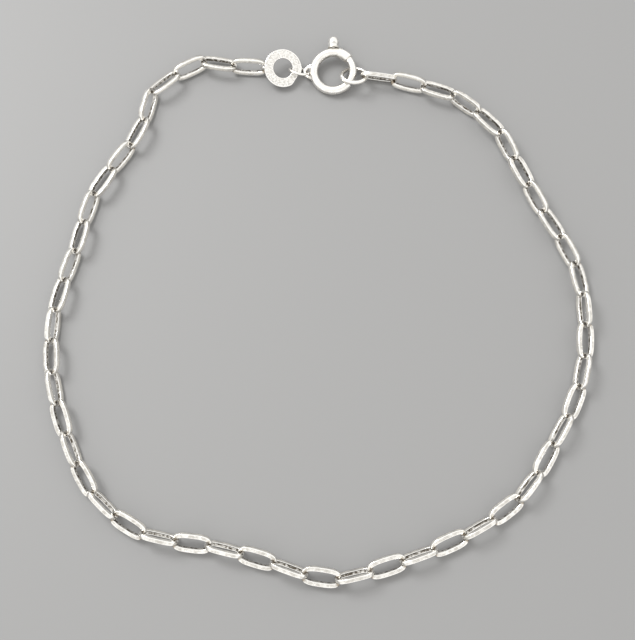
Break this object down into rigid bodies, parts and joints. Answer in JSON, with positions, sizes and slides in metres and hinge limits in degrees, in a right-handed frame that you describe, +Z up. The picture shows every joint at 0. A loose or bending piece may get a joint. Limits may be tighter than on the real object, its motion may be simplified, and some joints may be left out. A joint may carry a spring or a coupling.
{
  "type": "bracelet",
  "caption": "Fine silver trace-chain bracelet, fastened and lying in its loop, with a bolt-ring clasp whose knob draws its sprung bolt back and a split tag ring.",
  "frame": {"origin": "middle of the loop's outline, on the surface that the bracelet lies on", "axes": "+Z up from the surface; +Y from the middle of the loop to the clasp; +X to the clasp's right, where the jump ring is"},
  "size_m": [0.0602, 0.0627, 0.0022],
  "materials": {
    "filed_silver": "flat-filed sterling silver with crisp bright edges",
    "stamped_silver": "worn, mottled sterling silver with a bright rim, its stamping place bare",
    "polished_silver": "mirror-polished sterling silver"
  },
  "bodies": {
    "bracelet": {"chain_run_01": "filed_silver", "chain_run_02": "filed_silver", "chain_run_03": "filed_silver", "chain_run_04": "filed_silver", "chain_run_05": "filed_silver", "chain_run_06": "filed_silver", "chain_run_07": "filed_silver", "chain_run_08": "filed_silver", "chain_run_09": "filed_silver", "chain_run_10": "filed_silver", "tag_ring": "stamped_silver", "coupling_ring": "polished_silver", "clasp_ring": "polished_silver", "jump_ring": "polished_silver"},
    "bolt": {"clasp_bolt": "polished_silver"}
  },
  "joints": [
    {"name": "bolt_draw", "type": "hinge", "parent": "bracelet", "child": "bolt", "pos_m": [0.00169, 0.02695, 0.00095], "axis": [-0.0872, -0.1558, 0.9839], "range_deg": [0, 50], "stiffness_Nm_per_rad": 0.0012, "springref_deg": -28.65}
  ]
}
